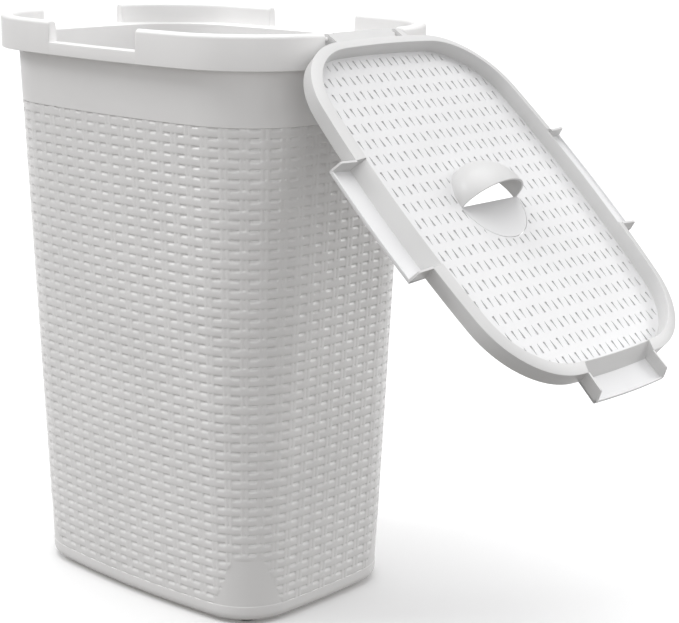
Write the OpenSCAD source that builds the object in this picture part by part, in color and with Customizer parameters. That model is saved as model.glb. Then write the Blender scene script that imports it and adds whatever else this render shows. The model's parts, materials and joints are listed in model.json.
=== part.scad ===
// Slim laundry hamper: a tapered tub, a rim with four raised collars, and a hinged lid.
// Millimetres. The floor is z = 0, the long front side faces -Y and the hinge side is +X.
// The origin is under the middle of the tub.
// The lid is drawn wide open; closing it turns it back by open_angle about the hinge line.

/* [Overall size] */
// Length over the rim, along X
rim_length = 438; // [380:1:480]
// Width over the rim, along Y
rim_width = 338.5; // [300:0.5:380]
// Height to the tops of the collars
height = 617; // [500:1:700]
// Radius of the rim's corners
corner_radius = 103.5; // [80:0.5:120]
// Radius of the slight bow of the long sides
side_bow = 1131; // [900:1:2000]
// Radius of the slight bow of the short ends
end_bow = 1137.5; // [900:0.5:2000]

/* [Tub] */
// Wall thickness of the mouldings
wall = 2.4; // [1.8:0.1:3]
// How far the wall stands in from the rim at the top
inset_top = 18.4; // [12:0.1:24]
// How far the wall stands in from the rim at the bottom
inset_base = 43.3; // [30:0.1:50]
// Height of the tray that closes the tub's bottom
tray_top = 20; // [16:0.5:30]
// Radius of the rounded bottom edge
edge_radius = 10; // [6:0.5:14]
// Height of the plain band under the rim
band_height = 57; // [40:1:70]
// Depth of the woven field below the plain bands
field_depth = 0.8; // [0.4:0.1:1.2]
// Height of a foot pad
foot_height = 3; // [2:0.5:5]
// Radius of a foot pad
foot_radius = 10; // [8:0.5:14]

/* [Rim] */
// Level of the ledge that the lid rests on
ledge_top = 595.4; // [560:0.1:620]
// Height of the skirt that hangs from the ledge
skirt_height = 13; // [8:0.5:20]
// Thickness of the collars
collar_depth = 13; // [10:0.5:16]
// Half length of the notches in the long sides
side_notch = 65.4; // [50:0.1:80]
// Half length of the notches in the short ends
end_notch = 57.2; // [45:0.1:70]

/* [Lid] */
// Angle from shut to wide open
open_angle = 222.6; // [180:0.1:230]
// Distance of the hinge line from the tub's middle
hinge_x = 215.6; // [200:0.1:220]
// Level of the hinge line
hinge_z = 610.9; // [600:0.1:615]
// Thickness of the lid's panel
panel_thickness = 2.3; // [1.8:0.1:3]
// How far the bead's outer wall stands in from the rim
bead_outer = 17.3; // [15:0.1:20]
// Width of the bead that hangs round the panel
bead_width = 11.2; // [8:0.1:15]
// Reach of the tabs beyond the rim
tab_reach = 7; // [3:0.5:10]
// Gap at each end of a tab
tab_gap = 1.9; // [1:0.1:3]
// Radius of the hinge pins
pin_radius = 1.8; // [1.5:0.1:2.5]
// Radius of the finger scoop
scoop_radius = 43; // [35:1:50]
// Depth of the finger scoop's hood
scoop_depth = 33.5; // [25:0.5:40]

/* [Hidden] */
$fn = 180;
white = [0.93, 0.93, 0.92];
grey = [0.35, 0.35, 0.36];

// The outline is four shallow arcs joined by four corner arcs that meet them smoothly.
side_y = rim_width / 2 - side_bow;
end_x = rim_length / 2 - end_bow;
gap = sqrt(side_y * side_y + end_x * end_x);
side_reach = side_bow - corner_radius;
end_reach = end_bow - corner_radius;
along = (side_reach * side_reach - end_reach * end_reach + gap * gap) / (2 * gap);
across = sqrt(side_reach * side_reach - along * along);
corner_x = (end_x * along - side_y * across) / gap;
corner_y = side_y - side_y * along / gap - end_x * across / gap;
side_half = atan2(corner_x, corner_y - side_y);
end_half = atan2(corner_y, corner_x - end_x);

ledge_thickness = wall;
skirt_low = ledge_top - skirt_height;
wall_top = ledge_top - ledge_thickness;
slope = (inset_base - inset_top) / (skirt_low - foot_height);
function wall_inset(z) = inset_top + (skirt_low - z) * slope;
big = 2 * rim_length;

// Shift of the shut lid along X, away from the hinge.
lid_shift = -1.5;
// Level of the shut lid's top face.
lid_top = 610.3;
panel_low = lid_top - panel_thickness;
// The bead's outer wall ends just above the ledge, and its inner wall hangs lower.
rest_gap = 0.3;
bead_drop = 3.3;
free_edge = ledge_top + rest_gap;
bead_low = free_edge - bead_drop;
bead_inner = bead_outer + bead_width;
// The lip that hangs from a tab, and how far the tab's end walls slope in below it.
lip_height = 4.1;
lip_slope = 4.5;
lip_low = lid_top - lip_height;
// Wall thickness of the bead and the tabs.
skin = 2.2;
clip_near = 46;
clip_far = 54;
clip_radius = 5;

// Points on an arc round (cx, cy) from angle a to angle b, both ends included.
function arc(cx, cy, r, a, b, n) =
    [for (i = [0:n]) [cx + r * cos(a + (b - a) * i / n), cy + r * sin(a + (b - a) * i / n)]];

// The same without its last point, and turned on by a part of a step.
function open_arc(cx, cy, r, a, b, n, phase) =
    [for (i = [0:n - 1]) let (t = a + (b - a) * (i + phase) / n) [cx + r * cos(t), cy + r * sin(t)]];

// The outline drawn in by the given inset, anticlockwise from the +X end.
// A phase of 0.5 puts its points halfway between the usual ones.
function outline(inset, phase = 0) =
    let (end_r = end_bow - inset, side_r = side_bow - inset, corner_r = corner_radius - inset,
         a = end_half, b = 90 - side_half, x = corner_x, y = corner_y)
    concat(open_arc(end_x, 0, end_r, -a, a, 4, phase),
           open_arc(x, y, corner_r, a, b, 12, phase),
           open_arc(0, side_y, side_r, b, 180 - b, 6, phase),
           open_arc(-x, y, corner_r, 180 - b, 180 - a, 12, phase),
           open_arc(-end_x, 0, end_r, 180 - a, 180 + a, 4, phase),
           open_arc(-x, -y, corner_r, 180 + a, 180 + b, 12, phase),
           open_arc(0, -side_y, side_r, 180 + b, 360 - b, 6, phase),
           open_arc(x, -y, corner_r, 360 - b, 360 - a, 12, phase));

// Twice the signed area of a closed profile.
function turning(p) = [for (i = [0:len(p) - 1]) let (q = p[(i + 1) % len(p)])
                       p[i][0] * q[1] - q[0] * p[i][1]] * [for (i = [0:len(p) - 1]) 1];

// Sweeps a closed profile of [inset, z] points once round the outline.
module sweep(given) {
    m = len(given);
    profile = turning(given) < 0 ? given : [for (i = [m - 1:-1:0]) given[i]];
    n = len(outline(0));
    points = [for (p = profile) for (q = outline(p[0])) [q[0], q[1], p[1]]];
    faces = [for (j = [0:m - 1]) for (i = [0:n - 1]) let (k = (i + 1) % n, l = (j + 1) % m)
             [j * n + i, l * n + i, l * n + k, j * n + k]];
    polyhedron(points = points, faces = faces, convexity = 10);
}

// A flat plate with the outline's shape.
module plate(low, high, inset, phase = 0) {
    translate([0, 0, low])
        linear_extrude(high - low)
            polygon(outline(inset, phase));
}

// The four gaps between the collars, each widened by the given amount.
module notches(low, high, grow) {
    translate([-side_notch - grow, -big / 2, low])
        cube([2 * (side_notch + grow), big, high - low]);
    translate([-big / 2, -end_notch - grow, low])
        cube([big, 2 * (end_notch + grow), high - low]);
}

// Turns what is drawn for the shut lid into the wide open lid.
module opened() {
    translate([hinge_x, 0, hinge_z])
        rotate([0, open_angle, 0])
            translate([-hinge_x, 0, -hinge_z])
                children();
}

module basket_wall() {
    color(white) {
        low = tray_top;
        field_high = skirt_low - band_height;
        sweep([[wall_inset(low) + field_depth, low],
               [wall_inset(low) + wall, low],
               [wall_inset(wall_top) + wall, wall_top],
               [wall_inset(wall_top), wall_top],
               [wall_inset(field_high), field_high],
               [wall_inset(field_high - 1) + field_depth, field_high - 1]]);
    }
}

module base_tray() {
    middle = foot_height + edge_radius;
    centre_in = wall_inset(middle) + edge_radius;
    outside = arc(centre_in, middle, edge_radius, 180, 270, 8);
    inside = arc(centre_in, middle, edge_radius - wall, 270, 180, 8);
    flat_in = centre_in + 2;
    color(white) {
        sweep(concat([[wall_inset(tray_top), tray_top]], outside,
                     [[flat_in, foot_height], [flat_in, foot_height + wall]], inside,
                     [[wall_inset(tray_top) + wall, tray_top]]));
        plate(foot_height, foot_height + wall, flat_in);
    }
}

module rim_frame() {
    top_radius = 4;
    ledge_reach = 20.8;
    eased = 0.4;
    ridge = arc(top_radius, height - top_radius, top_radius, 180, 90, 6);
    fall = arc(collar_depth - top_radius, height - top_radius, top_radius, 90, 0, 6);
    color(white)
        difference() {
            // Skirt, collars and ledge in one section. The ledge's inner edge is eased so
            // that the lid's bead clears it.
            sweep(concat([[wall, wall_top], [wall, skirt_low], [0, skirt_low]], ridge, fall,
                         [[collar_depth, ledge_top - eased],
                          [ledge_reach, wall_top + eased], [ledge_reach, wall_top]]));
            notches(ledge_top, height + 1, 0);
            // The collars are hollow and open below, and closed at the notches.
            difference() {
                plate(wall_top - 1, height - wall - 1, wall + 0.3, 0.5);
                plate(wall_top - 2, height, collar_depth - wall, 0.5);
                notches(wall_top - 3, height + 1, wall);
            }
        }
}

module hinge_pins() {
    color(white)
        for (s = [0, 1]) mirror([0, s, 0])
            translate([hinge_x, end_notch, hinge_z])
                rotate([90, 0, 0])
                    cylinder(h = end_notch - clip_near + 2, r = pin_radius);
}

module feet() {
    reach = corner_radius - inset_base - edge_radius - foot_radius - 1;
    color(grey)
        for (s = [-1, 1])
            for (t = [-1, 1])
                translate([s * (corner_x + reach * cos(45)), t * (corner_y + reach * sin(45)), 0])
                    cylinder(h = foot_height, r = foot_radius);
}

// The tabs of the long sides and the far end, cut from one swept section.
module tabs(side_length, end_length, profile) {
    intersection() {
        sweep(profile);
        translate([-side_length, -big / 2, 0]) cube([2 * side_length, big, height + 20]);
    }
    intersection() {
        sweep(profile);
        translate([-big / 2, -end_length, 0]) cube([big / 2, 2 * end_length, height + 20]);
    }
}

// The bead: a channel that hangs round the panel, open at the top.
module lid_bead() {
    // The two edges of the channel's sloping floor.
    floor_inner = bead_low + 2.9;
    floor_outer = free_edge + 2.3;
    color(white) opened() translate([lid_shift, 0, 0])
        sweep([[bead_outer, lid_top], [bead_outer, free_edge], [bead_inner, bead_low],
               [bead_inner, lid_top], [bead_inner - skin, lid_top],
               [bead_inner - skin, floor_inner], [bead_outer + skin, floor_outer],
               [bead_outer + skin, lid_top]]);
}

// Three tabs that fill the notches: each is a plate with a lip, closed at its ends.
module lid_tabs() {
    reach = -tab_reach;
    block = [[bead_outer, free_edge], [reach + lip_slope, free_edge], [reach, lip_low],
             [reach, lid_top], [bead_outer, lid_top]];
    hollow = [[bead_outer + 1, free_edge - 1], [reach - 1, free_edge - 1], [reach - 1, lip_low],
              [reach + skin, lip_low], [reach + skin, panel_low], [bead_outer + 1, panel_low]];
    side_length = side_notch - tab_gap;
    end_length = end_notch - tab_gap;
    color(white) opened() translate([lid_shift, 0, 0])
        difference() {
            tabs(side_length, end_length, block);
            tabs(side_length - skin, end_length - skin, hollow);
        }
}

// A plain plate that reaches the hinge line between the clips.
module hinge_tab() {
    clearance = 3;
    width = 2 * (clip_near - clearance);
    reach = -4;
    color(white) opened() translate([lid_shift, 0, 0])
        intersection() {
            sweep([[bead_outer, panel_low], [bead_outer, lid_top],
                   [reach, lid_top], [reach, panel_low]]);
            translate([0, -width / 2, 0]) cube([big / 2, width, height + 20]);
        }
}

// The flat panel inside the bead, with a round opening for the scoop.
module lid_panel() {
    color(white) opened() translate([lid_shift, 0, 0])
        difference() {
            plate(panel_low, lid_top, bead_inner);
            translate([0, 0, panel_low - 1])
                cylinder(h = panel_thickness + 2, r = scoop_radius);
        }
}

module finger_scoop() {
    shell = 2;
    outside = [for (i = [0:12]) let (a = 90 * i / 12)
               [scoop_radius * cos(a), panel_low - scoop_depth * sin(a)]];
    inside = [for (i = [12:-1:0]) let (a = 90 * i / 12)
              [(scoop_radius - shell) * cos(a), panel_low - (scoop_depth - shell) * sin(a)]];
    color(white) opened() translate([lid_shift, 0, 0]) {
        // The hood stands over the hinge side of the opening.
        rotate([0, 0, -90])
            rotate_extrude(angle = 180)
                polygon(concat(outside, inside, [[scoop_radius - shell, lid_top],
                                                 [scoop_radius, lid_top]]));
        // The grip plate closes the other half.
        intersection() {
            translate([0, 0, panel_low]) cylinder(h = panel_thickness, r = scoop_radius);
            translate([-big, -big / 2, 0]) cube([big, big, height + 20]);
        }
    }
}

module hinge_clips() {
    bore = pin_radius + 0.05;
    stop_angle = 146;
    heel_reach = 16.5;
    heel_back = 8;
    arm_low = -9;
    root = rim_length / 2 - bead_outer - 2 + lid_shift - hinge_x;
    color(white) opened()
        for (s = [0, 1]) mirror([0, s, 0])
            translate([hinge_x, clip_far, hinge_z])
                rotate([90, 0, 0])
                    difference() {
                        union() {
                            cylinder(h = clip_far - clip_near, r = clip_radius);
                            // The arm joins the knuckle to the bead's outer wall.
                            linear_extrude(clip_far - clip_near)
                                polygon([[root, lid_top - hinge_z], [root, arm_low], [0, -clip_radius],
                                         [3, 0], [0, clip_radius]]);
                            // The heel meets the ledge's edge when the lid is wide open.
                            linear_extrude(clip_far - clip_near)
                                polygon([[root, lid_top - hinge_z],
                                         [heel_reach * cos(stop_angle), heel_reach * sin(stop_angle)],
                                         [heel_back * cos(stop_angle), heel_back * sin(stop_angle)],
                                         [0, clip_radius], [-2, -2]]);
                        }
                        translate([0, 0, -1])
                            cylinder(h = clip_far - clip_near + 2, r = bore);
                    }
}

basket_wall();
base_tray();
rim_frame();
hinge_pins();
feet();
lid_bead();
lid_tabs();
hinge_tab();
lid_panel();
finger_scoop();
hinge_clips();
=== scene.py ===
"""Laundry hamper with a woven-look tub and an open, slotted lid.

Shapes are worked out in millimetres in the model's own frame: +Z up, the long front side facing
-Y and the hinge on the +X side. The lid is shaped shut and then turned open about the hinge.
"""
import json
import math

import bmesh
import bpy
import numpy as np
from mathutils import Euler, Matrix, Vector


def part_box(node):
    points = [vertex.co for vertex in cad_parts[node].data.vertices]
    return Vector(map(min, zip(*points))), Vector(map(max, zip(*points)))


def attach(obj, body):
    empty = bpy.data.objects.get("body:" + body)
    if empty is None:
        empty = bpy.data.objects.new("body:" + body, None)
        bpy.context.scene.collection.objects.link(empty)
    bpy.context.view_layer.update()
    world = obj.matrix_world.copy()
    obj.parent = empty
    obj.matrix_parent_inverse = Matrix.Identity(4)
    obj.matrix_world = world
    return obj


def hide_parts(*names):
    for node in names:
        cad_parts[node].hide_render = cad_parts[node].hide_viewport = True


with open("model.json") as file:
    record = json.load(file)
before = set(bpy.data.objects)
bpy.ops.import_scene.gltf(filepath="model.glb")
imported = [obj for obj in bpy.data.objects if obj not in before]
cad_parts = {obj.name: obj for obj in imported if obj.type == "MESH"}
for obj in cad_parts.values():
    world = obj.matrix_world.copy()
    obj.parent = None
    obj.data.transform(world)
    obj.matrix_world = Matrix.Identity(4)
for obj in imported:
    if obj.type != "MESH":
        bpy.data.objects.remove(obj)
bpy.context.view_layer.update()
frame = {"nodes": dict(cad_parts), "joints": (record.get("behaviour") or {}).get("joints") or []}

MM = 0.001


def node_box(node):
    """A CAD node's lowest and highest corner in millimetres."""
    low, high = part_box(node)
    return Vector(low) / MM, Vector(high) / MM


# Sizes read from the frame.
rim_low, rim_high = node_box("rim_frame")
wall_high = node_box("basket_wall")[1]
tray_low, tray_high = node_box("base_tray")
feet_high = node_box("feet")[1]
hinge = frame["joints"][0]
hinge_x = hinge["pos_m"][0] / MM
hinge_z = hinge["pos_m"][2] / MM
open_angle = math.radians(hinge["range_deg"][1])

rim_length = rim_high.x - rim_low.x
rim_width = rim_high.y - rim_low.y
rim_top = rim_high.z
skirt_low = rim_low.z
wall_top = wall_high.z
tray_top = tray_high.z
floor_low = tray_low.z

# Driving sizes that the frame doesn't state.
CORNER_RADIUS = 103.5
SIDE_BOW = 1131.0
END_BOW = 1137.5
WALL = 2.4
INSET_TOP = 18.4
INSET_BASE = 43.3
EDGE_RADIUS = 10.0
FOOT_RADIUS = 10.0
BAND_HEIGHT = 57.0
COLLAR_END = 10.0
COLLAR_CORNER = 15.0
LEDGE_FLAT = 13.0
LEDGE_REACH = 20.8
SIDE_NOTCH = 65.4
END_NOTCH = 57.2
STAKES = 62
ROWS = 50
LID_SHIFT = -1.5
LID_TOP = 610.3
PANEL = 2.3
SKIN = 2.2
BEAD_OUTER = 17.3
BEAD_INNER = 28.5
BEAD_DROP = 3.3
REST_GAP = 0.3
TAB_REACH = 7.0
TAB_GAP = 1.9
LIP_LOW = 606.2
LIP_SLOPE = 4.5
HINGE_TAB_REACH = 4
HINGE_TAB_HALF = 43.0
SCOOP_RADIUS = 43.0
SCOOP_DEPTH = 33.5
CLIP_NEAR = 46.0
CLIP_FAR = 54.0
CLIP_RADIUS = 5.0
CLIP_BORE = 1.85

ledge_top = wall_top + WALL
free_edge = ledge_top + REST_GAP
bead_low = free_edge - BEAD_DROP
panel_low = LID_TOP - PANEL
field_low = tray_top
field_high = skirt_low - BAND_HEIGHT
slope = (INSET_BASE - INSET_TOP) / (skirt_low - floor_low)
# How far the tub's inner face lies behind its outer one: the wall and a little more.
backing = WALL + 0.4
# Where the tabs' plates start, inside the bead's outer wall.
tab_root = BEAD_OUTER + 0.4


def wall_inset(z):
    """How far the tub's outer face stands in from the rim at a height."""
    return INSET_TOP + (skirt_low - z) * slope


# ---------------------------------------------------------------- outline

def outline_arcs():
    """The eight arcs of the rim's outline, anticlockwise from the +X end: centre, radius, angles."""
    side_y = rim_width / 2 - SIDE_BOW
    end_x = rim_length / 2 - END_BOW
    apart = math.hypot(side_y, end_x)
    side_reach = SIDE_BOW - CORNER_RADIUS
    end_reach = END_BOW - CORNER_RADIUS
    along = (side_reach ** 2 - end_reach ** 2 + apart ** 2) / (2 * apart)
    across = math.sqrt(side_reach ** 2 - along ** 2)
    x = (end_x * along - side_y * across) / apart
    y = side_y - side_y * along / apart - end_x * across / apart
    a = math.atan2(y, x - end_x)
    b = math.pi / 2 - math.atan2(x, y - side_y)
    turn = math.pi
    return [(end_x, 0, END_BOW, -a, a), (x, y, CORNER_RADIUS, a, b),
            (0, side_y, SIDE_BOW, b, turn - b), (-x, y, CORNER_RADIUS, turn - b, turn - a),
            (-end_x, 0, END_BOW, turn - a, turn + a), (-x, -y, CORNER_RADIUS, turn + a, turn + b),
            (0, -side_y, SIDE_BOW, turn + b, 2 * turn - b),
            (x, -y, CORNER_RADIUS, 2 * turn - b, 2 * turn - a)]


ARCS = outline_arcs()
REFERENCE = 0.5 * (wall_inset(field_low) + wall_inset(field_high))
ARC_LENGTHS = [(r - REFERENCE) * (b - a) for _, _, r, a, b in ARCS]
ARC_STARTS = np.concatenate([[0.0], np.cumsum(ARC_LENGTHS)])
PERIMETER = float(ARC_STARTS[-1])


class Stations:
    """Places along the outline, given by their distance round the middle of the wall."""

    def __init__(self, distances):
        s = np.mod(np.asarray(distances, float), PERIMETER)
        which = np.clip(np.searchsorted(ARC_STARTS, s, side="right") - 1, 0, len(ARCS) - 1)
        arcs = np.array(ARCS)[which]
        share = (s - ARC_STARTS[which]) / np.array(ARC_LENGTHS)[which]
        angle = arcs[:, 3] + share * (arcs[:, 4] - arcs[:, 3])
        self.x, self.y, self.r = arcs[:, 0], arcs[:, 1], arcs[:, 2]
        self.cos, self.sin = np.cos(angle), np.sin(angle)
        self.corner = np.where(which % 2 == 1, np.sin(np.pi * share), 0.0)
        self.count = len(s)

    def points(self, inset, z):
        """Points at the given inset and height; both may vary along the outline."""
        reach = self.r - inset
        flat = [self.x + reach * self.cos, self.y + reach * self.sin]
        return np.stack(flat + [np.broadcast_to(z, self.x.shape)], axis=-1)


def arc_middle(index):
    """Distance at which an arc of the outline has its middle."""
    return float(ARC_STARTS[index] + ARC_LENGTHS[index] / 2)


def distance_on(index, offset):
    """Distance of the point on a side or end arc that lies offset from the arc's middle."""
    radius = ARCS[index][2]
    return arc_middle(index) + math.asin(offset / radius) * (radius - REFERENCE)


def round_the_outline(step):
    """Distances once round, a whole number of steps on each arc."""
    places = []
    for start, length in zip(ARC_STARTS, ARC_LENGTHS):
        count = max(2, round(length / step))
        places.extend(start + length * k / count for k in range(count))
    return places


def stretch(start, end, step):
    """Distances from start to end, which may pass the outline's own start."""
    count = max(1, round((end - start) / step))
    return [start + (end - start) * k / count for k in range(count + 1)]


# ---------------------------------------------------------------- meshes

def opened(points):
    """Turns points of the shut lid into the open lid's place."""
    x = points[:, 0] + LID_SHIFT - hinge_x
    z = points[:, 2] - hinge_z
    cos, sin = math.cos(open_angle), math.sin(open_angle)
    return np.stack([hinge_x + x * cos + z * sin, points[:, 1], hinge_z - x * sin + z * cos], axis=-1)


def make_piece(name, points, faces, body, nodes, material, slot="white_plastic", crease=35):
    """One mesh object from millimetre points, riding on a body and standing for CAD nodes."""
    points = np.asarray(points, float).reshape(-1, 3)
    if body == "lid":
        points = opened(points)
    mesh = bpy.data.meshes.new(name)
    mesh.from_pydata((points * MM).tolist(), [], [list(map(int, f)) for f in faces])
    work = bmesh.new()
    work.from_mesh(mesh)
    bmesh.ops.remove_doubles(work, verts=work.verts, dist=1e-7)
    bmesh.ops.recalc_face_normals(work, faces=work.faces)
    work.to_mesh(mesh)
    work.free()
    mesh.shade_smooth()
    mesh.set_sharp_from_angle(angle=math.radians(crease))
    mesh.materials.append(material)
    piece = bpy.data.objects.new(name, mesh)
    bpy.context.scene.collection.objects.link(piece)
    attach(piece, body)
    if nodes:
        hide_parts(*nodes)
    return piece


def loft(rings, closed):
    """Points and faces of a tube through rings of equal size, closed on itself or capped."""
    rings = np.asarray(rings, float)
    count, size = rings.shape[:2]
    last = count if closed else count - 1
    faces = []
    for i in range(last):
        here, after = i * size, (i + 1) % count * size
        for j in range(size):
            k = (j + 1) % size
            faces.append((here + j, after + j, after + k, here + k))
    if not closed:
        faces.append(tuple(range(size)))
        faces.append(tuple(reversed(range((count - 1) * size, count * size))))
    return rings.reshape(-1, 3), faces


def sweep(profile, places, closed):
    """Sweeps a closed profile of (inset, z) points along the outline."""
    at = Stations(places)
    columns = [at.points(inset, z) for inset, z in profile]
    return loft(np.stack(columns, axis=1), closed)


def rounded(corners, steps=5):
    """A closed profile from (inset, z, radius) corners, each rounded by its radius."""
    shape = []
    count = len(corners)
    for i, (x, z, radius) in enumerate(corners):
        if radius <= 0:
            shape.append((x, z))
            continue
        here = np.array([x, z], float)
        back = np.array(corners[i - 1][:2], float) - here
        ahead = np.array(corners[(i + 1) % count][:2], float) - here
        back_unit, ahead_unit = back / np.linalg.norm(back), ahead / np.linalg.norm(ahead)
        half = math.acos(float(np.clip(back_unit @ ahead_unit, -1, 1))) / 2
        reach = radius / math.tan(half)
        limit = 0.49 * min(np.linalg.norm(back), np.linalg.norm(ahead))
        if reach > limit:
            reach = limit
            radius = reach * math.tan(half)
        middle = here + (back_unit + ahead_unit) / np.linalg.norm(back_unit + ahead_unit) * (
            radius / math.sin(half))
        first, final = here + back_unit * reach, here + ahead_unit * reach
        a = math.atan2(*(first - middle)[::-1])
        b = math.atan2(*(final - middle)[::-1])
        turn = (b - a + math.pi) % (2 * math.pi) - math.pi
        for k in range(steps + 1):
            t = a + turn * k / steps
            shape.append((middle[0] + radius * math.cos(t), middle[1] + radius * math.sin(t)))
    return shape


def circle(radius, count):
    """Points once round a circle about the origin."""
    turns = [2 * math.pi * k / count for k in range(count)]
    return [(radius * math.cos(t), radius * math.sin(t)) for t in turns]


# ---------------------------------------------------------------- materials

def plastic(name, colour, roughness, grain=900.0, dent=0.02, tint=0.02):
    """Moulded plastic: faint mottling of its colour and gloss, and a fine moulded grain."""
    material = bpy.data.materials.new(name)
    material.use_nodes = True
    nodes, links = material.node_tree.nodes, material.node_tree.links
    shader = nodes["Principled BSDF"]
    shader.inputs["Specular IOR Level"].default_value = 0.45
    shader.inputs["IOR"].default_value = 1.49
    place = nodes.new("ShaderNodeTexCoord")

    mottle = nodes.new("ShaderNodeTexNoise")
    mottle.inputs["Scale"].default_value = 9.0
    mottle.inputs["Detail"].default_value = 4.0
    links.new(place.outputs["Object"], mottle.inputs["Vector"])
    shade = nodes.new("ShaderNodeValToRGB")
    dark = [c * (1 - tint) for c in colour]
    light = [min(1.0, c * (1 + tint)) for c in colour]
    shade.color_ramp.elements[0].color = (*dark, 1)
    shade.color_ramp.elements[0].position = 0.35
    shade.color_ramp.elements[1].color = (*light, 1)
    shade.color_ramp.elements[1].position = 0.65
    links.new(mottle.outputs["Fac"], shade.inputs["Fac"])
    links.new(shade.outputs["Color"], shader.inputs["Base Color"])

    gloss = nodes.new("ShaderNodeMapRange")
    gloss.inputs["To Min"].default_value = roughness - 0.05
    gloss.inputs["To Max"].default_value = roughness + 0.06
    links.new(mottle.outputs["Fac"], gloss.inputs["Value"])
    links.new(gloss.outputs["Result"], shader.inputs["Roughness"])

    fine = nodes.new("ShaderNodeTexNoise")
    fine.inputs["Scale"].default_value = grain
    fine.inputs["Detail"].default_value = 2.0
    links.new(place.outputs["Object"], fine.inputs["Vector"])
    bump = nodes.new("ShaderNodeBump")
    bump.inputs["Strength"].default_value = 0.25
    bump.inputs["Distance"].default_value = dent * MM
    links.new(fine.outputs["Fac"], bump.inputs["Height"])
    links.new(bump.outputs["Normal"], shader.inputs["Normal"])
    return material


tub_white = plastic("tub_white", (0.89, 0.885, 0.88), 0.40)
weave_white = plastic("weave_white", (0.80, 0.795, 0.79), 0.24, dent=0.03, tint=0.025)
# A darker copy of the lid's own white plastic, which paints shade onto the bead, tab end walls, hinge
# tab, scoop hood and clips.
lid_white_painted_shade = plastic("lid_white_painted_shade", (0.65, 0.648, 0.645), 0.36)
# A lighter copy of the same lid plastic, which paints light onto the slotted panel, tab plates and grip
# plate.
panel_white_painted_light = plastic("panel_white_painted_light", (0.745, 0.745, 0.75), 0.40)
foot_black = plastic("foot_black", (0.02, 0.02, 0.02), 0.7, grain=1500.0, dent=0.05, tint=0.2)


# ---------------------------------------------------------------- tub: woven wall

PITCH = PERIMETER / STAKES
ROW = (field_high - field_low) / ROWS
# Places of the mesh's columns in one pitch, from the middle of a stake, and rows in one strand.
COLUMN_PARTS = [-0.5, -0.40, -0.32, -0.285, -0.24, -0.16, -0.05, 0.0, 0.05, 0.16, 0.24, 0.285, 0.32, 0.40]
ROW_PARTS = [0.0, 0.05, 0.09, 0.14, 0.26, 0.5, 0.69, 0.76, 0.86, 0.955]
# In millimetres: a strand's sway and thickness, its sloped edge's depth, and the web beside it.
SWING = 0.30
STRAND = 0.75
CHAMFER = 1.4
WEB = 0.20
RELIEF = SWING + STRAND
# Half of a strand's height in rows, and the part of it where the sloped edge starts.
STRAND_HALF = 0.455
CHAMFER_FROM = 0.42
# How fast the sloped edge fades towards the stakes.
MIDWAY_PEAK = 2.2
MIDWAY_FALL = 7.0
# A stake is two rods: their offset and half width in pitches, and their height and crown.
ROD_OFFSET = 0.14
ROD_HALF = 0.13
ROD_BASE = 0.15
ROD_CROWN = 0.65
# The plain boot at each corner, and how far it and the field's two edges lie below the relief.
BOOT_TOP = 72.0
BOOT_HALF = 19.5
BOOT_FLARE = 0.51
BOOT_SINK = 0.6
EDGE_SINK = 0.3


def weave_height(u, v, s, z):
    """Height of the woven surface over its ground, in millimetres.

    u counts stakes and v counts strands. A strand runs over every other stake, and its
    neighbours run over the others.
    """
    strand = np.floor(v + 1e-6)
    stake = np.round(u)
    side = np.where((strand + stake) % 2 == 0, 1.0, -1.0)
    across = (v - strand - 0.5) / STRAND_HALF
    bulge = np.sqrt(np.clip(1 - np.abs(across) ** 4, 0, 1))
    sway = side * np.cos(np.pi * (u - stake))
    # Midway between stakes the strand's top edge slopes back, so that it catches light from above.
    midway = np.clip(MIDWAY_PEAK - MIDWAY_FALL * np.abs(np.abs(u - stake) - 0.5), 0, 1)
    slope_back = CHAMFER * midway * np.clip((across - CHAMFER_FROM) / (1 - CHAMFER_FROM), 0, 1)
    ground = WEB - (WEB + CHAMFER - STRAND) * midway
    strand_height = np.where(np.abs(across) < 1, SWING * sway + STRAND * bulge - slope_back, ground)
    rods = np.full(u.shape, -CHAMFER)
    for offset in (-ROD_OFFSET, ROD_OFFSET):
        from_rod = (u - stake - offset) / ROD_HALF
        rod = ROD_BASE + ROD_CROWN * np.sqrt(np.clip(1 - from_rod ** 2, 0, 1))
        rods = np.maximum(rods, np.where(np.abs(from_rod) < 1, rod, -CHAMFER))
    height = np.maximum(np.maximum(strand_height, rods), STRAND - CHAMFER)

    # The corners end in a plain flared boot, and the field ends level with the plain bands.
    for index in (1, 3, 5, 7):
        away = np.abs((s - arc_middle(index) + PERIMETER / 2) % PERIMETER - PERIMETER / 2)
        half = BOOT_HALF + np.clip(BOOT_TOP - z, 0, None) * BOOT_FLARE
        height = np.where((away < half) & (z < BOOT_TOP), RELIEF - BOOT_SINK, height)
    return height


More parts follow.
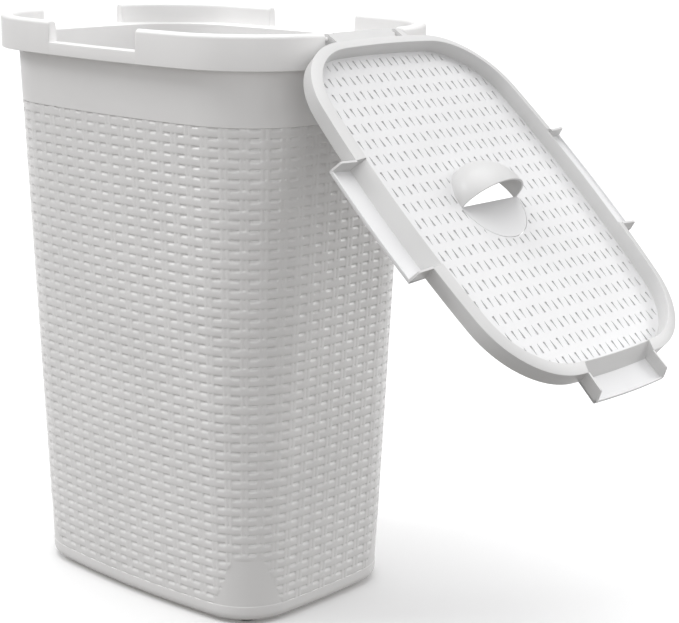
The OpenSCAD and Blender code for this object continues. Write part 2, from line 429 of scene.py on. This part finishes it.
def weave_panel(number, count):
    """A closed slab of woven wall: a fine outer face, a plain inner face and edges."""
    cells = np.arange(number * STAKES // count, (number + 1) * STAKES // count)
    u = np.append((cells[:, None] + np.array(COLUMN_PARTS)).ravel(), cells[-1] + 0.5)
    v = np.append((np.arange(ROWS)[:, None] + np.array(ROW_PARTS)).ravel(), ROWS)
    s = u * PITCH
    z = field_low + v * ROW
    grid_u, grid_v = np.meshgrid(u, v, indexing="ij")
    grid_s, grid_z = np.meshgrid(s, z, indexing="ij")
    height = weave_height(grid_u, grid_v, grid_s, grid_z)
    height[:, [0, -1]] = RELIEF - EDGE_SINK
    at = Stations(s)
    outer = np.stack([at.points(wall_inset(z[j]) + RELIEF - height[:, j], z[j])
                      for j in range(len(z))], axis=1)
    inner = [at.points(wall_inset(end) + backing, end) for end in (z[0], z[-1])]
    columns, rows = len(s), len(z)
    points = np.concatenate([outer.reshape(-1, 3), inner[0], inner[1]])
    base = columns * rows
    i, j = np.meshgrid(np.arange(columns - 1), np.arange(rows - 1), indexing="ij")
    corner = (i * rows + j).ravel()
    faces = np.stack([corner, corner + rows, corner + rows + 1, corner + 1], axis=1).tolist()
    for k in range(columns - 1):
        low, high = base + k, base + columns + k
        faces.append((low, high, high + 1, low + 1))
        faces.append((k * rows, low, low + 1, (k + 1) * rows))
        faces.append((k * rows + rows - 1, (k + 1) * rows + rows - 1, high + 1, high))
    faces.append(list(range(rows)) + [base + columns, base])
    faces.append(list(range(base - rows, base))[::-1] + [base + columns - 1, base + 2 * columns - 1])
    make_piece(f"woven_wall_{number + 1}", points, faces, "tub", ["basket_wall"], weave_white, crease=50)


def plain_band():
    """The smooth band between the weave and the rim's ledge."""
    proud = 0.1
    profile = rounded([(wall_inset(field_high) - proud, field_high, 0.9),
                       (wall_inset(wall_top), wall_top, 0),
                       (wall_inset(wall_top) + backing, wall_top, 0),
                       (wall_inset(field_high) + backing, field_high, 0)])
    make_piece("plain_band", *sweep(profile, round_the_outline(5.0), True), "tub",
               ["basket_wall"], tub_white)


# ---------------------------------------------------------------- tub: tray and feet

def tray():
    """The rounded bottom edge as a ring, and the floor as a plate inside it."""
    middle = floor_low + EDGE_RADIUS
    centre = wall_inset(middle) + EDGE_RADIUS
    angles = [math.pi + math.pi / 2 * k / 10 for k in range(11)]
    outside = [(centre + EDGE_RADIUS * math.cos(t), middle + EDGE_RADIUS * math.sin(t)) for t in angles]
    thin = EDGE_RADIUS - WALL
    inside = [(centre + thin * math.cos(t), middle + thin * math.sin(t)) for t in reversed(angles)]
    flat = centre + 6
    overlap = 0.5
    profile = ([(wall_inset(tray_top) + 0.25, tray_top), (wall_inset(tray_top) + 0.12, tray_top - 1.5)]
               + outside + [(flat, floor_low), (flat, floor_low + WALL)] + inside
               + [(wall_inset(tray_top) + backing, tray_top)])
    make_piece("tray_edge", *sweep(profile, round_the_outline(4.0), True), "tub",
               ["base_tray"], weave_white)
    at = Stations(round_the_outline(4.0))
    levels = (floor_low + 0.15, floor_low + WALL - 0.1)
    rings = np.stack([at.points(flat - overlap, level) for level in levels])
    count = at.count
    faces = [tuple(range(count)), tuple(range(2 * count - 1, count - 1, -1))]
    faces += [(k, (k + 1) % count, count + (k + 1) % count, count + k) for k in range(count)]
    make_piece("tray_floor", rings, faces, "tub", ["base_tray"], tub_white)


def turned(profile, x, y, count=40):
    """A turned piece about a vertical axis from (radius, z) points, capped at both ends."""
    rings = []
    for k in range(count):
        t = 2 * math.pi * k / count
        rings.append([(x + r * math.cos(t), y + r * math.sin(t), z) for r, z in profile])
    points = np.array(rings).reshape(-1, 3)
    size = len(profile)
    faces = [(k * size + j, (k + 1) % count * size + j, (k + 1) % count * size + j + 1, k * size + j + 1)
             for k in range(count) for j in range(size - 1)]
    faces.append([k * size for k in range(count)])
    faces.append([k * size + size - 1 for k in range(count)])
    return points, faces


def feet():
    """Four round pads with an eased lower edge."""
    x = feet_high.x - FOOT_RADIUS
    y = feet_high.y - FOOT_RADIUS
    profile = [(FOOT_RADIUS - 1.2, 0.0), (FOOT_RADIUS - 0.4, 0.35), (FOOT_RADIUS, 1.2),
               (FOOT_RADIUS, feet_high.z)]
    for number, (sx, sy) in enumerate([(1, 1), (-1, 1), (-1, -1), (1, -1)]):
        make_piece(f"foot_{number + 1}", *turned(profile, sx * x, sy * y), "tub", ["feet"],
                   foot_black, "foot_rubber")


# ---------------------------------------------------------------- rim

def ledge():
    """The ledge all the way round, with its hanging skirt and eased inner edge."""
    profile = rounded([(0.12, skirt_low, 0.8), (0.12, ledge_top, 1.0), (LEDGE_FLAT, ledge_top, 0),
                       (LEDGE_REACH, wall_top + 0.4, 0.3), (LEDGE_REACH, wall_top, 0),
                       (WALL, wall_top, 1.0),
                       (WALL, skirt_low, 0.8)], 4)
    make_piece("rim_ledge", *sweep(profile, round_the_outline(4.0), True), "tub",
               ["rim_frame"], tub_white)


def collar(number, start, end):
    """A hollow collar wall with a rounded top, thicker round the corner and eased at its ends."""
    ease = 2.2
    radius = 4.2
    near = [ease * (1 - math.cos(math.pi / 2 * k / 5)) for k in range(6)]
    places = [start + d for d in near] + stretch(start + ease, end - ease, 3.5)[1:-1]
    places += [end - d for d in reversed(near)]
    at = Stations(places)
    rings = []
    for k in range(at.count):
        from_end = min(places[k] - start, end - places[k])
        tuck = ease - math.sqrt(max(0.0, ease ** 2 - max(0.0, ease - from_end) ** 2))
        depth = COLLAR_END + (COLLAR_CORNER - COLLAR_END) * at.corner[k]
        section = rounded([(0, skirt_low, 0.8), (0, rim_top, radius), (depth, rim_top, radius),
                           (depth + 0.3, ledge_top - 0.3, 0), (depth + 0.3, wall_top + 0.1, 0),
                           (WALL, wall_top + 0.1, 0.6), (WALL, skirt_low, 0.8)], 6)
        ring = []
        for inset, z in section:
            above = max(0.0, z - ledge_top) / (rim_top - ledge_top)
            middle = depth / 2
            inset = middle + (inset - middle) * (1 - tuck * above ** 0.3 / middle * 0.75)
            z = z - tuck * above
            ring.append(Stations([places[k]]).points(inset, z)[0])
        rings.append(ring)
    make_piece(f"collar_{number}", *loft(rings, False), "tub", ["rim_frame"], tub_white)


def rim():
    """The ledge, and a collar round each corner from notch to notch."""
    ledge()
    for number, (first, second) in enumerate([(0, 2), (2, 4), (4, 6), (6, 8)]):
        first_offset = END_NOTCH if first % 4 == 0 else SIDE_NOTCH
        second_offset = END_NOTCH if second % 4 == 0 else SIDE_NOTCH
        start = distance_on(first, first_offset)
        if second == 8:
            end = PERIMETER + distance_on(0, -second_offset)
        else:
            end = distance_on(second, -second_offset)
        collar(number + 1, start, end)


# ---------------------------------------------------------------- lid

# Each tab's place on the outline and its half length.
TABS = {"front_tab": (6, SIDE_NOTCH - TAB_GAP),
        "back_tab": (2, SIDE_NOTCH - TAB_GAP),
        "far_tab": (4, END_NOTCH - TAB_GAP)}


def bead():
    """The channel that hangs round the panel. Behind each tab its outer wall slants to the tab."""
    def section(outer_low, hollow_outer, hollow_inner):
        return rounded([(BEAD_OUTER, LID_TOP, 0.8), (BEAD_OUTER, outer_low, 0.4),
                        (BEAD_INNER, bead_low, 0.6), (BEAD_INNER, LID_TOP, 0.6),
                        (BEAD_INNER - SKIN, LID_TOP, 0.5), (BEAD_INNER - SKIN, hollow_inner, 0.8),
                        (BEAD_OUTER + SKIN, hollow_outer, 0.4), (BEAD_OUTER + SKIN, LID_TOP, 0.4)], 4)

    fall = (panel_low - bead_low) / (BEAD_INNER - BEAD_OUTER)
    skin_up = SKIN * math.hypot(1, fall)
    full = section(free_edge, free_edge + 2.3, bead_low + 2.9)
    slanted = section(panel_low, panel_low - SKIN * fall + skin_up, bead_low + SKIN * fall + skin_up)
    # The section changes between 0.4 and 1.6 mm inside each end of a tab.
    places = round_the_outline(3.5)
    spans = []
    for index, half in TABS.values():
        start, end = distance_on(index, -half), distance_on(index, half)
        spans.append((start + 1.0, end - 1.0))
        places += [start + 0.4, start + 1.6, end - 1.6, end - 0.4]
    places = np.array(sorted(places))
    behind_tab = np.zeros(len(places), bool)
    for start, end in spans:
        behind_tab |= (places > start) & (places < end)
    profile = [(np.where(behind_tab, cut[0], whole[0]), np.where(behind_tab, cut[1], whole[1]))
               for whole, cut in zip(full, slanted)]
    make_piece("bead_channel", *sweep(profile, places, True), "lid", ["lid_bead"], lid_white_painted_shade)


def tab(name, index, half):
    """A tab that fills a notch: a plate with a hanging lip, closed by a wall at each end."""
    reach = -TAB_REACH
    plate = rounded([(tab_root, LID_TOP, 0), (reach, LID_TOP, 1.4), (reach, LIP_LOW, 0.7),
                     (reach + SKIN, LIP_LOW, 0.7), (reach + SKIN, panel_low, 0.9),
                     (tab_root, panel_low, 0)], 4)
    start, end = distance_on(index, -half), distance_on(index, half)
    make_piece(f"{name}_plate", *sweep(plate, stretch(start, end, 6.0), False), "lid",
               ["lid_tabs"], panel_white_painted_light)
    # The end walls lie a hair inside the plate, so that no two faces coincide.
    end_wall = rounded([(tab_root, LID_TOP - 0.05, 0), (reach + 0.02, LID_TOP - 0.05, 1.4),
                        (reach + 0.02, LIP_LOW, 1.5), (reach + LIP_SLOPE, free_edge, 2.0),
                        (tab_root, free_edge, 0)], 4)
    thick = SKIN * (1 - REFERENCE / ARCS[index][2])
    for side, (a, b) in enumerate([(start, start + thick), (end - thick, end)]):
        make_piece(f"{name}_end_{side + 1}", *sweep(end_wall, stretch(a, b, 1.2), False), "lid",
                   ["lid_tabs"], lid_white_painted_shade)


def hinge_tab():
    """The plate between the hinge clips, which reaches the hinge line."""
    reach = -HINGE_TAB_REACH
    profile = rounded([(tab_root, LID_TOP, 0), (reach, LID_TOP, 1.1), (reach, panel_low, 1.1),
                       (tab_root, panel_low, 0)], 4)
    start, end = distance_on(0, -HINGE_TAB_HALF), distance_on(0, HINGE_TAB_HALF)
    make_piece("hinge_tab_plate", *sweep(profile, stretch(start, end, 6.0), False), "lid",
               ["hinge_tab"], lid_white_painted_shade)


def filled_shape(name, loops, depth):
    """A flat plate from closed loops of (x, y) points: an outline first, then its holes."""
    curve = bpy.data.curves.new(name, "CURVE")
    curve.dimensions = "2D"
    curve.fill_mode = "BOTH"
    curve.extrude = depth / 2
    for loop in loops:
        spline = curve.splines.new("POLY")
        spline.points.add(len(loop) - 1)
        for point, (x, y) in zip(spline.points, loop):
            point.co = (x, y, 0, 1)
        spline.use_cyclic_u = True
    holder = bpy.data.objects.new(name, curve)
    bpy.context.scene.collection.objects.link(holder)
    graph = bpy.context.evaluated_depsgraph_get()
    mesh = bpy.data.meshes.new_from_object(holder.evaluated_get(graph))
    points = np.array([v.co[:] for v in mesh.vertices])
    faces = [tuple(p.vertices) for p in mesh.polygons]
    bpy.data.objects.remove(holder)
    bpy.data.curves.remove(curve)
    bpy.data.meshes.remove(mesh)
    return points, faces


SLOT_PITCH_X = 18.85
SLOT_PITCH_Y = 9.94
SLOT_LENGTH = 10.8
SLOT_THICK = 2.9
SLOT_THIN = 0.6
SLOT_SHORTEST = 3.5
SLOT_SHIFT = 1.0
# How far a slot stays clear of the panel's edge and of the scoop.
EDGE_MARGIN = 1.8
SCOOP_MARGIN = 1.6
# Columns and rows of slots on each side of the lid's middle, enough to cover the panel.
SLOT_COLUMNS = 11
SLOT_ROWS = 15


def slot_loop(x, y, thick_end, first, last):
    """A wedge slot along X, thick at the end that thick_end points to, cut to a part of its length."""
    loop = []
    for end, t in ((1, last), (-1, first)):
        share = 0.5 + thick_end * t / SLOT_LENGTH
        radius = (SLOT_THIN + (SLOT_THICK - SLOT_THIN) * share) / 2
        for k in range(7):
            turn = math.pi / 2 - math.pi * k / 6
            px = t + end * radius * 0.5 * (math.cos(turn) - 1)
            loop.append((x + px, y + end * radius * math.sin(turn)))
    return loop


def inside_panel(x, y):
    """Whether a point lies on the panel, clear of its edge and of the scoop."""
    limit = BEAD_INNER + EDGE_MARGIN
    for cx, cy, radius, a, b in ARCS:
        t = math.atan2(y - cy, x - cx) % (2 * math.pi)
        low, high = a % (2 * math.pi), b % (2 * math.pi)
        within = low <= t <= high if low < high else (t >= low or t <= high)
        if within and math.hypot(x - cx, y - cy) > radius - limit:
            return False
    return math.hypot(x, y) > SCOOP_RADIUS + SCOOP_MARGIN


def slot_reach(x, y):
    """The part of a slot's length that is clear of the panel's edge and the scoop, or nothing."""
    steps = 12
    tries = [SLOT_LENGTH * (k / steps - 0.5) for k in range(steps + 1)]
    clear = [t for t in tries if inside_panel(x + t, y)]
    if not clear or clear[-1] - clear[0] < SLOT_SHORTEST:
        return None
    # A slot whose clear part is interrupted is left out.
    if len(clear) != round((clear[-1] - clear[0]) / SLOT_LENGTH * steps) + 1:
        return None
    return clear[0], clear[-1]


def lid_panel():
    """The flat panel with its checkered rows of wedge slots and the hole for the scoop."""
    at = Stations(round_the_outline(4.0))
    outline = [(p[0], p[1]) for p in at.points(BEAD_INNER - 0.3, 0)]
    loops = [outline, circle(SCOOP_RADIUS, 96)]
    for column in range(-SLOT_COLUMNS, SLOT_COLUMNS):
        for row in range(-SLOT_ROWS, SLOT_ROWS):
            x = SLOT_SHIFT + SLOT_PITCH_X * (column + 0.5)
            y = SLOT_PITCH_Y * (row + 0.5)
            reach = slot_reach(x, y)
            if reach:
                loops.append(slot_loop(x, y, 1 if (column + row) % 2 == 0 else -1, *reach))
    points, faces = filled_shape("slotted", loops, PANEL)
    points[:, 2] += (LID_TOP + panel_low) / 2
    make_piece("lid_panel_sheet", points, faces, "lid", ["lid_panel"], panel_white_painted_light, crease=30)


def scoop():
    """The hood over the hinge side of the scoop, and the plate that closes the other side."""
    shell = 2.0
    steps = 20
    rings = []
    for k in range(2 * steps + 1):
        turn = -math.pi / 2 + math.pi * k / (2 * steps)
        ring = []
        for radius, depth, order in ((SCOOP_RADIUS - 0.05, SCOOP_DEPTH, 1),
                                     (SCOOP_RADIUS - shell, SCOOP_DEPTH - shell, -1)):
            angles = [math.pi / 2 * i / 16 for i in range(17)][::order]
            part = [(radius * math.cos(a) * math.cos(turn), radius * math.cos(a) * math.sin(turn),
                     panel_low - depth * math.sin(a)) for a in angles]
            flat = (radius * math.cos(turn), radius * math.sin(turn), LID_TOP)
            ring += [flat] + part if order == 1 else part + [flat]
        rings.append(ring)
    make_piece("scoop_hood", *loft(rings, False), "lid", ["finger_scoop"], lid_white_painted_shade)
    edge = [(-SCOOP_RADIUS * math.cos(a), SCOOP_RADIUS * math.sin(a))
            for a in [math.pi / 2 - math.pi * k / 48 for k in range(49)]]
    # The plate is a little smaller than the opening, and moved towards the hood.
    fit = 0.99
    shift = 0.2
    loop = [(x * fit + shift, y * fit) for x, y in edge]
    points, faces = filled_shape("grip", [loop], PANEL)
    points[:, 2] += (LID_TOP + panel_low) / 2
    make_piece("grip_plate", points, faces, "lid", ["finger_scoop"], panel_white_painted_light)


def clips():
    """Two knuckles that turn on the pins, each with an arm to the bead and a stop heel."""
    root = rim_length / 2 - BEAD_OUTER - 1 - hinge_x
    arm_low = -8.6
    heel_reach = 16.3
    heel = math.radians(146)
    outline = [(root, arm_low)]
    for k in range(19):
        t = -math.pi / 2 + math.pi * 0.80 * k / 18
        outline.append((CLIP_RADIUS * math.cos(t), CLIP_RADIUS * math.sin(t)))
    # The heel's upper edge rises gently from the knuckle to a bend, and then faster to its tip.
    tip = (heel_reach * math.cos(heel), heel_reach * math.sin(heel))
    bend = (tip[0] * 0.62, tip[1] * 0.72)
    outline += [bend, tip, (root, LID_TOP - hinge_z)]
    flat, faces = filled_shape("clip", [outline, circle(CLIP_BORE, 24)], CLIP_FAR - CLIP_NEAR)
    for number, side in enumerate((-1, 1)):
        middle = side * (CLIP_NEAR + CLIP_FAR) / 2
        points = np.stack([flat[:, 0] + hinge_x - LID_SHIFT, flat[:, 2] + middle,
                           flat[:, 1] + hinge_z], axis=-1)
        make_piece(f"hinge_clip_{number + 1}", points, faces, "lid", ["hinge_clips"], lid_white_painted_shade)


WEAVE_PANELS = 8
for panel_number in range(WEAVE_PANELS):
    weave_panel(panel_number, WEAVE_PANELS)
plain_band()
tray()
feet()
rim()
bead()
for tab_name, (arc_index, half_length) in TABS.items():
    tab(tab_name, arc_index, half_length)
hinge_tab()
lid_panel()
scoop()
clips()

pins = frame["nodes"]["hinge_pins"]
pins.data.materials.clear()
pins.data.materials.append(tub_white)


# ---------------------------------------------------------------- stage, lights and camera

def stage_floor():
    """A plain pale floor."""
    bpy.ops.mesh.primitive_plane_add(size=30, location=(0, 0, 0))
    floor = bpy.context.object
    floor.name = "floor"
    material = bpy.data.materials.new("floor_white")
    material.use_nodes = True
    shader = material.node_tree.nodes["Principled BSDF"]
    shader.inputs["Base Color"].default_value = (0.97, 0.97, 0.97, 1)
    shader.inputs["Roughness"].default_value = 0.9
    floor.data.materials.append(material)
    # The floor stays bright without throwing light up onto the object.
    floor.visible_diffuse = False


def sun_light(name, direction, angle, strength):
    """A broad, even light from far away, which shines along the direction."""
    data = bpy.data.lights.new(name, "SUN")
    data.angle = math.radians(angle)
    data.energy = strength
    light = bpy.data.objects.new(name, data)
    light.rotation_mode = "QUATERNION"
    light.rotation_quaternion = Vector(direction).to_track_quat("-Z", "Y")
    bpy.context.scene.collection.objects.link(light)


stage_floor()
sun_light("overhead_light", (0.03, 0.03, -1.0), 60, 1.85)
sun_light("key_light", (0.58, 0.53, -0.61), 25, 1.0)
sun_light("fill_light", (-0.72, 0.68, -0.10), 30, 0.70)
sun_light("end_light", (-0.435, -0.79, -0.425), 30, 1.0)


def studio_world():
    """Soft light from every side, dimmer and warmer from below."""
    world = bpy.data.worlds.new("studio")
    world.use_nodes = True
    nodes, links = world.node_tree.nodes, world.node_tree.links
    background = nodes["Background"]
    background.inputs["Strength"].default_value = 1.0
    place = nodes.new("ShaderNodeTexCoord")
    split = nodes.new("ShaderNodeSeparateXYZ")
    links.new(place.outputs["Generated"], split.inputs["Vector"])
    ramp = nodes.new("ShaderNodeValToRGB")
    ramp.color_ramp.elements[0].position = 0.0
    ramp.color_ramp.elements[0].color = (0.22, 0.21, 0.20, 1)
    ramp.color_ramp.elements[1].position = 1.0
    ramp.color_ramp.elements[1].color = (0.47, 0.47, 0.475, 1)
    spread = nodes.new("ShaderNodeMapRange")
    spread.inputs["From Min"].default_value = -0.4
    spread.inputs["From Max"].default_value = 0.4
    links.new(split.outputs["Z"], spread.inputs["Value"])
    links.new(spread.outputs["Result"], ramp.inputs["Fac"])
    links.new(ramp.outputs["Color"], background.inputs["Color"])
    bpy.context.scene.world = world


studio_world()
bpy.context.scene.view_settings.view_transform = "Standard"


def camera():
    """The camera, by its place in metres and its turn about X, Y and Z in degrees."""
    data = bpy.data.cameras.new("camera")
    data.sensor_width = 36.0
    data.lens = 94.0
    data.clip_start = 0.05
    data.clip_end = 100.0
    place = Vector((1.3731, -1.3323, 0.7593))
    turn = Euler([math.radians(angle) for angle in (76.356, -0.794, 41.822)])
    seen = bpy.data.objects.new("camera", data)
    seen.matrix_world = Matrix.Translation(place) @ turn.to_matrix().to_4x4()
    bpy.context.scene.collection.objects.link(seen)
    bpy.context.scene.camera = seen


camera()
